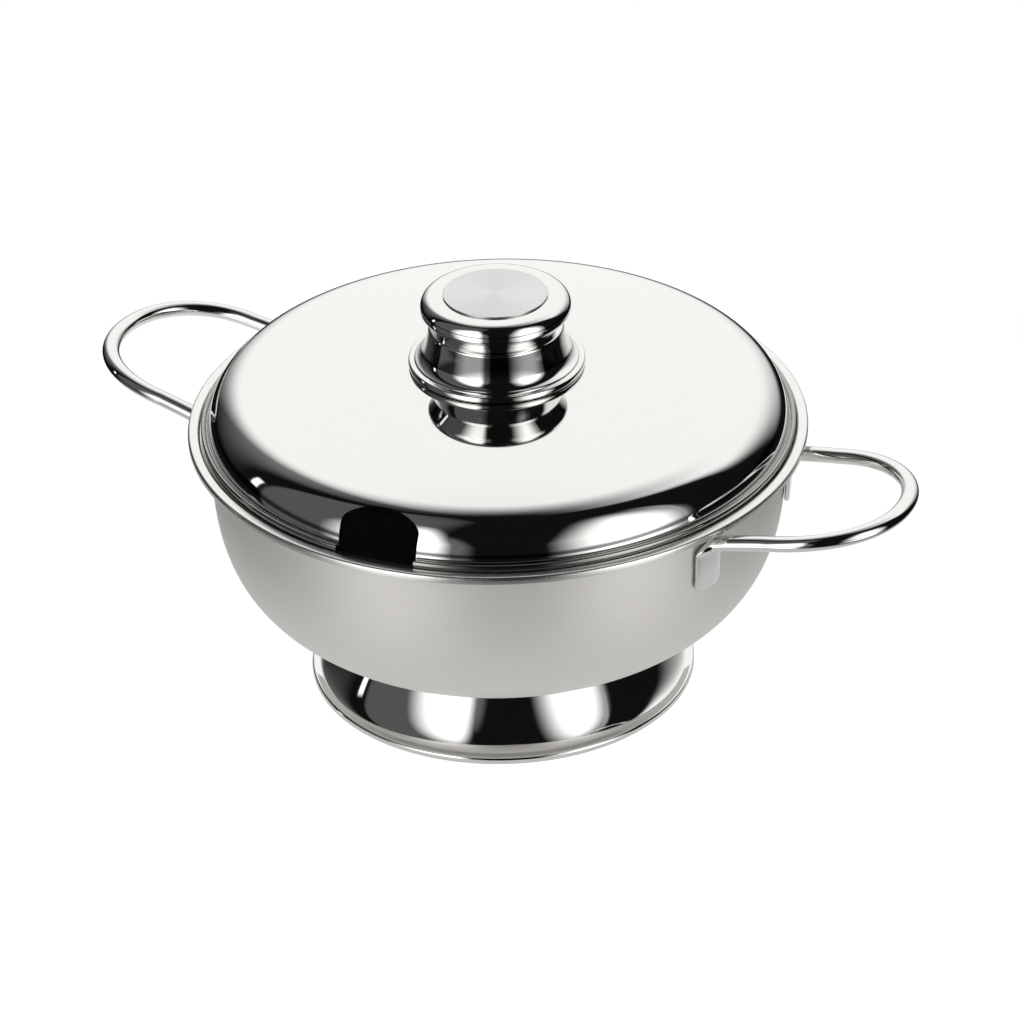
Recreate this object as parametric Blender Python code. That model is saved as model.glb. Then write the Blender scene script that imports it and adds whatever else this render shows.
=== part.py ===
# Covered soup tureen in stainless steel: a footed bowl with two wire handles,
# and a lift-off lid with a ladle notch and a hollow knob held by one screw.
# Metres, +Z up. The origin is on the table, under the centre of the foot.
# +X runs through the handles; the ladle notch faces -Y.

import math

import bmesh
import bpy
from mathutils import Matrix, Vector

# Shared sizes
sheet_thickness = 0.0009
contact_gap = 0.0003
cut_overrun = 0.004
weld_distance = 0.000001
smooth_angle = math.radians(38)
round_steps = 2

# Bowl
rim_height = 0.1175
rim_radius = 0.127
rim_edge_height = 0.0028
rim_flange_width = 0.0047
rim_bend_radius = 0.00075
seat_depth = 0.0016
seat_ledge_width = 0.0048
seat_bend_radius = 0.0006
bowl_straight_wall = 0.0015
bowl_curve_depth = 0.0877
bowl_curve_power = 3.39
bowl_sides = 48
bowl_curve_steps = 12

# Foot
foot_lip_radius = 0.0808
foot_lip_width = 0.0034
foot_lip_height = 0.0034
foot_lip_round = 0.0014
foot_neck_radius = 0.0595
foot_weld_flange = 0.0070
foot_flare_power = 0.73
foot_sides = 40
foot_flare_steps = 6

# Handles
handle_wire_width = 0.0071
handle_wire_thickness = 0.0061
handle_reach = 0.0557
handle_root_spacing = 0.0792
handle_loop_spacing = 0.0758
handle_loop_length = 0.0418
handle_loop_power = 2.09
handle_drop = 0.0101
handle_rise = 0.0111
handle_arch_share = 1.45
tab_width = 0.0134
tab_thickness = 0.0024
tab_length = 0.0160
tab_end_round = 0.0026
tab_section_power = 5
tab_bend_radius = 0.0048
handle_section_sides = 12
tab_bend_steps = 6
handle_leg_steps = 4
handle_loop_steps = 10

# Lid
lid_turn = math.radians(3.6)
lid_seat_play = 0.0005
lid_rest_share = 0.4
lid_rest_bearing = math.radians(27.8)
lid_height = 0.0265
lid_dome_rise = 0.01109
lid_shoulder_radius = 0.0185
lid_wall_draft = math.radians(6.5)
lid_lip_width = 0.00274
lid_bead_width = 0.0020
lid_bead_top = 0.0022
lid_bead_round = 0.00095
lid_groove_bottom = 0.0008
lid_groove_round = 0.0004
lid_sides = 48
lid_dome_steps = 6
lid_shoulder_steps = 7

# Ladle notch in the lid wall
notch_width = 0.0332
notch_height = 0.0167
notch_crown_height = 0.0062
notch_crown_power = 2.0
notch_depth = 0.0250
notch_crown_steps = 14

# Knob
knob_height = 0.0303
knob_head_radius = 0.0307
knob_head_round = 0.0050
knob_head_side_bottom = 0.0236
knob_underside_round = 0.0024
knob_neck_radius = 0.0259
knob_neck_height = 0.0188
knob_neck_round = 0.0006
knob_waist_radius = 0.0246
knob_waist_height = 0.0181
knob_waist_round = 0.0004
knob_shoulder_radius = 0.0275
knob_shoulder_height = 0.0166
knob_shoulder_round = 0.0016
knob_wall_radius = 0.0301
knob_wall_bottom = 0.0047
knob_flare_round = 0.0070
knob_flare_radius = 0.03335
knob_flare_height = 0.0031
knob_bead_radius = 0.0361
knob_bead_top = 0.0023
knob_bead_round = 0.0011
knob_groove_width = 0.0003
knob_sides = 32

# Satin cap let into the knob's top
cap_radius = 0.0212
cap_recess_depth = 0.0007
cap_proud = 0.0007
cap_edge_round = 0.0002

# Post, screw and washer that hold the knob
screw_shank_radius = 0.0025
screw_hole_clearance = 0.0005
screw_reach = 0.0110
screw_head_radius = 0.0048
screw_head_height = 0.0030
screw_head_round = 0.0012
screw_socket_radius = 0.0018
screw_socket_depth = 0.0016
post_radius = 0.0050
post_bore_roof = 0.0035
washer_radius = 0.0090
washer_thickness = 0.0010
fixing_sides = 24
socket_sides = 6


# Scene and materials
def clear_scene():
    for item in list(bpy.data.objects):
        bpy.data.objects.remove(item, do_unlink=True)


def steel(name, colour, roughness):
    material = bpy.data.materials.new(name)
    material.use_nodes = True
    shader = material.node_tree.nodes["Principled BSDF"]
    shader.inputs["Base Color"].default_value = (*colour, 1)
    shader.inputs["Roughness"].default_value = roughness
    shader.inputs["Metallic"].default_value = 1
    return material


# Outlines: lists of (radius, height) points
def rounded_path(corners):
    """Polyline through corners of (radius, height, rounding radius)."""
    path = []
    for index, (radius, height, rounding) in enumerate(corners):
        if rounding == 0:
            path.append((radius, height))
            continue
        here = Vector((radius, height))
        before = (Vector(corners[index - 1][:2]) - here).normalized()
        after = (Vector(corners[index + 1][:2]) - here).normalized()
        half_angle = before.angle(after) / 2
        centre = here + (before + after).normalized() * rounding / math.sin(half_angle)
        spoke = here + before * rounding / math.tan(half_angle) - centre
        last_spoke = here + after * rounding / math.tan(half_angle) - centre
        turn = -spoke.angle_signed(last_spoke)
        for step in range(round_steps + 1):
            path.append(tuple(centre + Matrix.Rotation(turn * step / round_steps, 2) @ spoke))
    return path


def offset_path(path, distance):
    """Parallel polyline, to the right of the direction of travel."""
    points = [Vector(point) for point in path]
    runs = [(end - start).normalized() for start, end in zip(points, points[1:])]
    rights = [Vector((run.y, -run.x)) for run in runs]
    moved = []
    for point, into, out in zip(points, rights[:1] + rights, rights + rights[-1:]):
        moved.append(tuple(point + (into + out) * distance / (1 + into.dot(out))))
    return moved


# Solids
def new_object(name, bm, parent):
    """Object from a closed mesh, shaded smooth but for its sharp edges."""
    bmesh.ops.remove_doubles(bm, verts=bm.verts, dist=weld_distance)
    bmesh.ops.recalc_face_normals(bm, faces=bm.faces)
    mesh = bpy.data.meshes.new(name)
    bm.to_mesh(mesh)
    bm.free()
    mesh.shade_smooth()
    mesh.set_sharp_from_angle(angle=smooth_angle)
    item = bpy.data.objects.new(name, mesh)
    bpy.context.scene.collection.objects.link(item)
    item.parent = parent
    return item


def turned(name, outline, sides, parent=None):
    """Turn a closed outline about Z, leaving out its edges on the axis."""
    bm = bmesh.new()
    verts = [bm.verts.new((radius, 0, height)) for radius, height in outline]
    edges = []
    for start, end in zip(verts, verts[1:] + verts[:1]):
        if start.co.x > 0 or end.co.x > 0:
            edges.append(bm.edges.new((start, end)))
    bmesh.ops.spin(bm, geom=verts + edges, cent=(0, 0, 0), axis=(0, 0, 1),
                   angle=math.tau, steps=sides, use_merge=True)
    return new_object(name, bm, parent)


def prism(name, outline, start_y, end_y, parent=None):
    """Extrude a closed outline of (x, z) points along Y."""
    bm = bmesh.new()
    near = [bm.verts.new((x, start_y, z)) for x, z in outline]
    far = [bm.verts.new((x, end_y, z)) for x, z in outline]
    bm.faces.new(near)
    bm.faces.new(far)
    bmesh.ops.bridge_loops(bm, edges=[edge for edge in bm.edges if len(edge.link_faces) == 1])
    return new_object(name, bm, parent)


def paint(item, material):
    item.data.materials.append(material)


def cut(target, cutter):
    cutter.hide_render = True
    cutter.display_type = "WIRE"
    boolean = target.modifiers.new(cutter.name, "BOOLEAN")
    boolean.operation = "DIFFERENCE"
    boolean.solver = "EXACT"
    boolean.object = cutter


# Bowl
seat_radius = rim_radius - rim_flange_width
seat_height = rim_height - seat_depth
bowl_radius = seat_radius - seat_ledge_width + sheet_thickness
bowl_curve_top = seat_height - bowl_straight_wall


def bowl_outer_radius(height):
    """Radius of the bowl's outside at a height above the table."""
    depth_share = max(0, bowl_curve_top - height) / bowl_curve_depth
    return bowl_radius * (1 - depth_share ** bowl_curve_power) ** (1 / bowl_curve_power)


def bowl_underside(radius):
    """Height of the bowl's outside at a radius on its rounded bottom."""
    radius_share = radius / bowl_radius
    depth_share = (1 - radius_share ** bowl_curve_power) ** (1 / bowl_curve_power)
    return bowl_curve_top - bowl_curve_depth * depth_share


def make_bowl(material):
    half = sheet_thickness / 2
    middle = rounded_path([
        (rim_radius - half, rim_height - rim_edge_height, 0),
        (rim_radius - half, rim_height - half, rim_bend_radius),
        (seat_radius + half, rim_height - half, rim_bend_radius),
        (seat_radius + half, seat_height - half, rim_bend_radius),
        (bowl_radius - half, seat_height - half, seat_bend_radius),
        (bowl_radius - half, bowl_curve_top, 0),
    ])
    for step in range(1, bowl_curve_steps):
        angle = math.pi / 2 * step / bowl_curve_steps
        radius_share = math.cos(angle) ** (2 / bowl_curve_power)
        depth_share = math.sin(angle) ** (2 / bowl_curve_power)
        middle.append((
            (bowl_radius - half) * radius_share,
            bowl_curve_top - (bowl_curve_depth - half) * depth_share,
        ))
    middle.append((0, bowl_curve_top - bowl_curve_depth + half))
    inside = offset_path(middle, half)
    outside = offset_path(middle, -half)
    inside[-1] = (0, inside[-1][1])
    outside[-1] = (0, outside[-1][1])
    paint(turned("bowl", inside + outside[::-1], bowl_sides), material)


# Foot, welded under the bowl by a narrow flange
def make_foot(material):
    outside = []
    for share in (0, 0.5, 1):
        radius = foot_neck_radius - foot_weld_flange * (1 - share)
        outside.append((radius, bowl_underside(radius) - contact_gap))
    wall_radius = foot_lip_radius - foot_lip_width
    neck_height = outside[-1][1]
    for step in range(1, foot_flare_steps + 1):
        height_share = 1 - step / foot_flare_steps
        outside.append((
            wall_radius - (wall_radius - foot_neck_radius) * height_share ** foot_flare_power,
            foot_lip_height + (neck_height - foot_lip_height) * height_share,
        ))
    inside = offset_path(outside, sheet_thickness)
    lip = rounded_path([
        (foot_lip_radius - foot_lip_round, foot_lip_height, 0),
        (foot_lip_radius, foot_lip_height, foot_lip_round / 2),
        (foot_lip_radius, 0, foot_lip_round / 2),
        (wall_radius - sheet_thickness, 0, 0),
    ])
    paint(turned("foot", outside + lip + inside[::-1], foot_sides), material)


# Handles: each is one wire, flattened at both ends into tabs that lie on the bowl
handle_root_height = rim_height - handle_drop
tab_stand_off = contact_gap + tab_thickness / 2
tab_root_radius = bowl_outer_radius(handle_root_height) + tab_stand_off
tab_bearing = math.asin(handle_root_spacing / 2 / tab_root_radius)
handle_root_x = tab_root_radius * math.cos(tab_bearing)
handle_tip_x = rim_radius + handle_reach - handle_wire_width / 2
handle_loop_x = handle_tip_x - handle_loop_length


def handle_height(x):
    """Height of the wire's centre, rising in a shallow arch towards the tip."""
    share = (x - handle_root_x) / (handle_tip_x - handle_root_x)
    return handle_root_height + handle_rise * share * (handle_arch_share + (1 - handle_arch_share) * share)


def handle_stations():
    """Half a handle as (centre, wire share, half width) from the tab's end to the tip.

    The wire share is 0 where the section is the flat tab's and 1 where it is the wire's.
    """
    slope = math.atan2(handle_rise * handle_arch_share, handle_tip_x - handle_root_x)
    bend_angle = math.pi / 2 - slope
    leg_x = handle_root_x + tab_bend_radius * (1 - math.cos(bend_angle))
    bend_bottom = handle_height(leg_x) - tab_bend_radius * math.sin(bend_angle)
    tab_bottom = bend_bottom - tab_length
    outward = Vector((math.cos(tab_bearing), math.sin(tab_bearing), 0))

    stations = []
    for share in (0, 0.5, 1):
        corner_angle = math.pi / 2 * share
        height = tab_bottom + tab_end_round * (1 - math.cos(corner_angle))
        centre = outward * (bowl_outer_radius(height) + tab_stand_off)
        centre.z = height
        stations.append((centre, 0, tab_width / 2 - tab_end_round * (1 - math.sin(corner_angle))))
    for step in range(tab_bend_steps + 1):
        share = step / tab_bend_steps
        angle = bend_angle * share
        x = handle_root_x + tab_bend_radius * (1 - math.cos(angle))
        z = bend_bottom + tab_bend_radius * math.sin(angle)
        wire_share = share * share * (3 - 2 * share)
        width = tab_width + (handle_wire_width - tab_width) * wire_share
        stations.append((Vector((x, leg_offset(x), z)), wire_share, width / 2))
    for step in range(1, handle_leg_steps + 1):
        x = leg_x + (handle_loop_x - leg_x) * step / handle_leg_steps
        stations.append((Vector((x, leg_offset(x), handle_height(x))), 1, handle_wire_width / 2))
    for step in range(1, handle_loop_steps + 1):
        angle = math.pi / 2 * step / handle_loop_steps
        x = handle_loop_x + handle_loop_length * math.sin(angle) ** (2 / handle_loop_power)
        y = handle_loop_spacing / 2 * math.cos(angle) ** (2 / handle_loop_power)
        if step == handle_loop_steps:
            y = 0
        stations.append((Vector((x, y, handle_height(x))), 1, handle_wire_width / 2))
    return stations


def leg_offset(x):
    """Distance of a leg's centre from the handle's middle plane."""
    share = (handle_loop_x - x) / (handle_loop_x - handle_root_x)
    return (handle_loop_spacing + (handle_root_spacing - handle_loop_spacing) * share) / 2


def section_ring(bm, station, heading):
    """Ring of vertices: a rounded rectangle on the tab, an oval on the wire."""
    centre, wire_share, half_width = station
    along_wall = Vector((-math.sin(tab_bearing), math.cos(tab_bearing), 0))
    across = along_wall
    if wire_share > 0:
        across = along_wall.lerp(Vector((-heading.y, heading.x, 0)).normalized(), wire_share)
    through = heading.cross(across).normalized()
    across = through.cross(heading).normalized()
    half_thickness = (tab_thickness + (handle_wire_thickness - tab_thickness) * wire_share) / 2
    power = tab_section_power + (2 - tab_section_power) * wire_share
    ring = []
    for side in range(handle_section_sides):
        angle = math.tau * (side + 0.5) / handle_section_sides
        across_share = math.copysign(abs(math.cos(angle)) ** (2 / power), math.cos(angle))
        through_share = math.copysign(abs(math.sin(angle)) ** (2 / power), math.sin(angle))
        offset = across * half_width * across_share + through * half_thickness * through_share
        ring.append(bm.verts.new(centre + offset))
    return ring


def make_handles(material):
    stations = handle_stations()
    centres = [station[0] for station in stations]
    mirrored = centres[-2] * Vector((1, -1, 1))
    bm = bmesh.new()
    rings = []
    for station, before, after in zip(stations, centres[:1] + centres, centres[1:] + [mirrored]):
        rings.append(section_ring(bm, station, (after - before).normalized()))
    for ring, next_ring in zip(rings, rings[1:]):
        for side in range(handle_section_sides):
            next_side = (side + 1) % handle_section_sides
            bm.faces.new((ring[side], ring[next_side], next_ring[next_side], next_ring[side]))
    bm.faces.new(rings[0])
    right = new_object("handle_right", bm, None)
    paint(right, material)
    left = bpy.data.objects.new("handle_left", right.data)
    bpy.context.scene.collection.objects.link(left)
    left.rotation_euler.z = math.pi
    for handle in (left, right):
        mirror = handle.modifiers.new("second_leg", "MIRROR")
        mirror.use_axis = (False, True, False)
        mirror.merge_threshold = weld_distance


# Lid, with heights measured from the top of the bowl's rim
lip_bottom = contact_gap - seat_depth
lid_lip_radius = seat_radius - lid_seat_play
lid_foot_radius = lid_lip_radius - lid_lip_width
lid_hole_radius = screw_shank_radius + screw_hole_clearance
lid_dome_radius = (lid_lip_radius ** 2 + lid_dome_rise ** 2) / (2 * lid_dome_rise)
dome_centre_height = lid_height - lid_dome_radius


def dome_height(radius):
    """Height of the dome's outside at a radius."""
    return dome_centre_height + math.sqrt(lid_dome_radius ** 2 - radius ** 2)


def shoulder_centre():
    """Centre of the arc that joins the sloping wall to the dome."""
    draft = math.tan(lid_wall_draft)
    wall_at_zero = lid_foot_radius - lid_shoulder_radius / math.cos(lid_wall_draft)
    reach = lid_dome_radius - lid_shoulder_radius
    a = 1 + draft ** 2
    b = -2 * (wall_at_zero * draft + dome_centre_height)
    c = wall_at_zero ** 2 + dome_centre_height ** 2 - reach ** 2
    height = (math.sqrt(b ** 2 - 4 * a * c) - b) / (2 * a)
    return wall_at_zero - height * draft, height


def lid_surface(inset):
    """Dome and shoulder from the screw hole outwards, set in by a thickness."""
    centre_radius, centre_height = shoulder_centre()
    start_angle = math.atan2(centre_height - dome_centre_height, centre_radius)
    dome = lid_dome_radius - inset
    edge_radius = dome * math.cos(start_angle)
    path = []
    for step in range(lid_dome_steps):
        radius = lid_hole_radius + (edge_radius - lid_hole_radius) * step / lid_dome_steps
        path.append((radius, dome_centre_height + math.sqrt(dome ** 2 - radius ** 2)))
    shoulder = lid_shoulder_radius - inset
    for step in range(lid_shoulder_steps + 1):
        angle = start_angle + (lid_wall_draft - start_angle) * step / lid_shoulder_steps
        path.append((
            centre_radius + shoulder * math.cos(angle),
            centre_height + shoulder * math.sin(angle),
        ))
    return path


def make_lid(material, parent):
    outer = lid_surface(0)
    inner = lid_surface(sheet_thickness)
    wall_inside = inner[-1][0] + (inner[-1][1] - lip_bottom) * math.tan(lid_wall_draft)
    groove_inside = lid_foot_radius - lid_groove_bottom * math.tan(lid_wall_draft)
    bead_inside = lid_lip_radius - lid_bead_width
    lip = rounded_path([
        (*outer[-1], 0),
        (groove_inside, lid_groove_bottom, lid_groove_round),
        (bead_inside, lid_groove_bottom, lid_groove_round),
        (bead_inside, lid_bead_top, lid_bead_round),
        (lid_lip_radius, lid_bead_top, lid_bead_round),
        (lid_lip_radius, lip_bottom, lid_groove_round),
        (wall_inside, lip_bottom, 0),
    ])
    lid = turned("lid", outer[:-1] + lip + inner[::-1], lid_sides, parent)
    paint(lid, material)
    cut(lid, make_notch_cutter(parent))


def make_notch_cutter(parent):
    """Straight sides and a flattened round crown, open at the bottom."""
    half = notch_width / 2
    bottom = lip_bottom - cut_overrun
    outline = [(half, bottom)]
    for step in range(notch_crown_steps + 1):
        angle = math.pi * step / notch_crown_steps
        out_share = math.copysign(abs(math.cos(angle)) ** (2 / notch_crown_power), math.cos(angle))
        up_share = math.sin(angle) ** (2 / notch_crown_power)
        outline.append((half * out_share, notch_height - notch_crown_height * (1 - up_share)))
    outline.append((-half, bottom))
    return prism("notch_cutter", outline, notch_depth - lid_lip_radius, -lid_lip_radius - cut_overrun, parent)


# Knob, with heights measured from the crown of the lid's dome
recess_floor = knob_height - cap_recess_depth
recess_radius = cap_radius + contact_gap


def knob_seat(radius):
    """Height of the knob's foot, a gap above the dome."""
    return dome_height(radius) - lid_height + contact_gap


def make_knob_shell(material, parent):
    outer = rounded_path([
        (recess_radius, knob_height, 0),
        (knob_head_radius, knob_height, knob_head_round),
        (knob_head_radius, knob_head_side_bottom, knob_underside_round),
        (knob_neck_radius, knob_neck_height, knob_neck_round),
        (knob_waist_radius, knob_waist_height, knob_waist_round),
        (knob_shoulder_radius, knob_shoulder_height, knob_shoulder_round),
        (knob_wall_radius, knob_wall_bottom, knob_flare_round),
        (knob_flare_radius, knob_flare_height, 0),
    ])
    inner = offset_path(outer, sheet_thickness)
    wall_inside = knob_wall_radius - sheet_thickness
    hollow = [point for point in inner if point[0] > recess_radius and point[1] > knob_wall_bottom]
    bead = rounded_path([
        (knob_flare_radius + knob_groove_width, knob_bead_top, 0),
        (knob_bead_radius, knob_bead_top, knob_bead_round),
        (knob_bead_radius, knob_seat(knob_bead_radius), knob_bead_round),
        (wall_inside, knob_seat(wall_inside), 0),
    ])
    recess = [
        (0, recess_floor - sheet_thickness),
        (0, recess_floor),
        (recess_radius, recess_floor),
    ]
    roof_edge = (recess_radius + sheet_thickness, recess_floor - sheet_thickness)
    outline = recess + outer + bead + hollow[::-1] + [roof_edge]
    paint(turned("knob_shell", outline, knob_sides, parent), material)


def make_knob_cap(material, parent):
    top = knob_height + cap_proud
    bottom = recess_floor + contact_gap
    outline = rounded_path([
        (0, top, 0),
        (cap_radius, top, cap_edge_round),
        (cap_radius, bottom, 0),
        (0, bottom, 0),
    ])
    paint(turned("knob_cap", outline, knob_sides, parent), material)


def make_knob_post(material, parent):
    top = recess_floor - sheet_thickness - contact_gap
    bore_radius = screw_shank_radius + contact_gap
    bore_top = top - post_bore_roof
    paint(turned("knob_post", [
        (0, top),
        (post_radius, top),
        (post_radius, contact_gap),
        (bore_radius, contact_gap),
        (bore_radius, bore_top),
        (0, bore_top),
    ], fixing_sides, parent), material)


washer_top = dome_height(washer_radius) - lid_height - sheet_thickness - contact_gap
washer_bottom = washer_top - washer_thickness


def make_knob_washer(material, parent):
    paint(turned("knob_washer", [
        (lid_hole_radius, washer_top),
        (washer_radius, washer_top),
        (washer_radius, washer_bottom),
        (lid_hole_radius, washer_bottom),
    ], fixing_sides, parent), material)


def make_knob_screw(material, parent):
    head_top = washer_bottom - contact_gap
    head_bottom = head_top - screw_head_height
    outline = rounded_path([
        (0, screw_reach, 0),
        (screw_shank_radius, screw_reach, 0),
        (screw_shank_radius, head_top, 0),
        (screw_head_radius, head_top, 0),
        (screw_head_radius, head_bottom, screw_head_round),
        (0, head_bottom, 0),
    ])
    screw = turned("knob_screw", outline, fixing_sides, parent)
    paint(screw, material)
    cut(screw, turned("socket_cutter", [
        (0, head_bottom + screw_socket_depth),
        (screw_socket_radius, head_bottom + screw_socket_depth),
        (screw_socket_radius, head_bottom - cut_overrun),
        (0, head_bottom - cut_overrun),
    ], socket_sides, parent))


def axis_marker(name, parent=None):
    marker = bpy.data.objects.new(name, None)
    bpy.context.scene.collection.objects.link(marker)
    marker.parent = parent
    return marker


def main():
    clear_scene()
    satin = steel("satin_steel", (0.60, 0.59, 0.57), 0.42)
    polished = steel("polished_steel", (0.80, 0.79, 0.77), 0.06)
    satin_cap = steel("satin_cap_steel", (0.70, 0.69, 0.68), 0.30)
    plain = steel("plain_steel", (0.55, 0.55, 0.54), 0.30)

    make_bowl(satin)
    make_foot(polished)
    make_handles(polished)

    # The lid rests off-centre in its seat and a little turned, as in the photograph
    lid_axis = axis_marker("lid_axis")
    rest_shift = lid_seat_play * lid_rest_share
    lid_axis.location.x = rest_shift * math.cos(lid_rest_bearing)
    lid_axis.location.y = rest_shift * math.sin(lid_rest_bearing)
    lid_axis.location.z = rim_height
    lid_axis.rotation_euler.z = lid_turn
    make_lid(polished, lid_axis)

    knob_axis = axis_marker("knob_axis", lid_axis)
    knob_axis.location.z = lid_height
    make_knob_shell(polished, knob_axis)
    make_knob_cap(satin_cap, knob_axis)
    make_knob_post(plain, knob_axis)
    make_knob_washer(plain, knob_axis)
    make_knob_screw(plain, knob_axis)
    bpy.context.view_layer.update()


main()
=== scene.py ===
import math

import bmesh
import bpy
from mathutils import Matrix, Vector


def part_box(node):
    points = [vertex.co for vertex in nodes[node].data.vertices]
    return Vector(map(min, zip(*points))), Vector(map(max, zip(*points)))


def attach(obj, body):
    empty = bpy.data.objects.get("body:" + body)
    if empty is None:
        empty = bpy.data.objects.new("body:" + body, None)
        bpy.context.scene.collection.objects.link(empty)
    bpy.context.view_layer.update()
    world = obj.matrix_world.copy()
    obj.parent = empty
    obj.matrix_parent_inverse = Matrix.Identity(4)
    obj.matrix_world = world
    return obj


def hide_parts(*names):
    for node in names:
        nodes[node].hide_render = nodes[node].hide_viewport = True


# Covered soup tureen in stainless steel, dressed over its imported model.
# Metres, +Z up, handles along X, ladle notch towards -Y.

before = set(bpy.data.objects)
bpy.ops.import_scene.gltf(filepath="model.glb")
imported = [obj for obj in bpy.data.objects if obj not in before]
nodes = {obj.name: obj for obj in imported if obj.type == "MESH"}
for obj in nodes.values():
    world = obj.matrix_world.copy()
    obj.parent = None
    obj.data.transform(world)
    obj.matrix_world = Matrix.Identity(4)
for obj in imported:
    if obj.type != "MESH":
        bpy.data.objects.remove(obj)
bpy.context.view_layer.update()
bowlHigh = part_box("bowl")[1]
footLow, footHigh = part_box("foot")
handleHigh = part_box("handle_right")[1]
rimRadius = bowlHigh.x
rimHeight = bowlHigh.z
sheet = 0.0009  # how thick the steel is
gap = 0.0003    # left between pieces that would touch
print("frame loaded")


# Outlines: lists of (radius, height)

def roundedPath(corners, steps=8):  # each corner has its rounding as a third value
    path = []
    for index, (radius, height, rounding) in enumerate(corners):
        if rounding == 0:
            path.append((radius, height))
            continue
        here = Vector((radius, height))
        before = (Vector(corners[index - 1][:2]) - here).normalized()
        after = (Vector(corners[index + 1][:2]) - here).normalized()
        halfAngle = before.angle(after) / 2
        centre = here + (before + after).normalized() * rounding / math.sin(halfAngle)
        spoke = here + before * rounding / math.tan(halfAngle) - centre
        lastSpoke = here + after * rounding / math.tan(halfAngle) - centre
        turn = -spoke.angle_signed(lastSpoke)
        for step in range(steps + 1):
            path.append(tuple(centre + Matrix.Rotation(turn * step / steps, 2) @ spoke))
    return path


def offsetPath(path, distance):  # moved to the right of its own direction
    points = [Vector(point) for point in path]
    runs = [(end - start).normalized() for start, end in zip(points, points[1:])]
    rights = [Vector((run.y, -run.x)) for run in runs]
    moved = []
    for point, into, out in zip(points, rights[:1] + rights, rights + rights[-1:]):
        moved.append(tuple(point + (into + out) * distance / (1 + into.dot(out))))
    return moved


# Geometry node trees

def newTree(name, sockets):
    tree = bpy.data.node_groups.new(name, "GeometryNodeTree")
    tree.interface.new_socket("Geometry", in_out="INPUT", socket_type="NodeSocketGeometry")
    for label, kind in sockets:
        tree.interface.new_socket(label, in_out="INPUT", socket_type=kind)
    tree.interface.new_socket("Geometry", in_out="OUTPUT", socket_type="NodeSocketGeometry")
    return tree, tree.nodes.new("NodeGroupInput"), tree.nodes.new("NodeGroupOutput")


def finishTree(tree, start, geometry, end):
    realize = tree.nodes.new("GeometryNodeRealizeInstances")
    paint = tree.nodes.new("GeometryNodeSetMaterial")
    tree.links.new(geometry, realize.inputs[0])
    tree.links.new(realize.outputs[0], paint.inputs["Geometry"])
    tree.links.new(start.outputs["Material"], paint.inputs["Material"])
    tree.links.new(paint.outputs[0], end.inputs[0])


def latheTree():
    tree, start, end = newTree("turnOnLathe", [
        ("Sides", "NodeSocketInt"), ("Spindle", "NodeSocketFloat"), ("Material", "NodeSocketMaterial")])
    link = tree.links.new
    profile = tree.nodes.new("GeometryNodeMeshToCurve")
    circle = tree.nodes.new("GeometryNodeCurvePrimitiveCircle")
    normals = tree.nodes.new("GeometryNodeSetCurveNormal")
    normals.mode = "Z_UP"
    sweep = tree.nodes.new("GeometryNodeCurveToMesh")
    link(start.outputs["Geometry"], profile.inputs[0])
    link(start.outputs["Sides"], circle.inputs["Resolution"])
    link(start.outputs["Spindle"], circle.inputs["Radius"])
    link(circle.outputs[0], normals.inputs[0])
    link(normals.outputs[0], sweep.inputs["Curve"])
    link(profile.outputs[0], sweep.inputs["Profile Curve"])
    finishTree(tree, start, sweep.outputs[0], end)
    return tree


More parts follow.
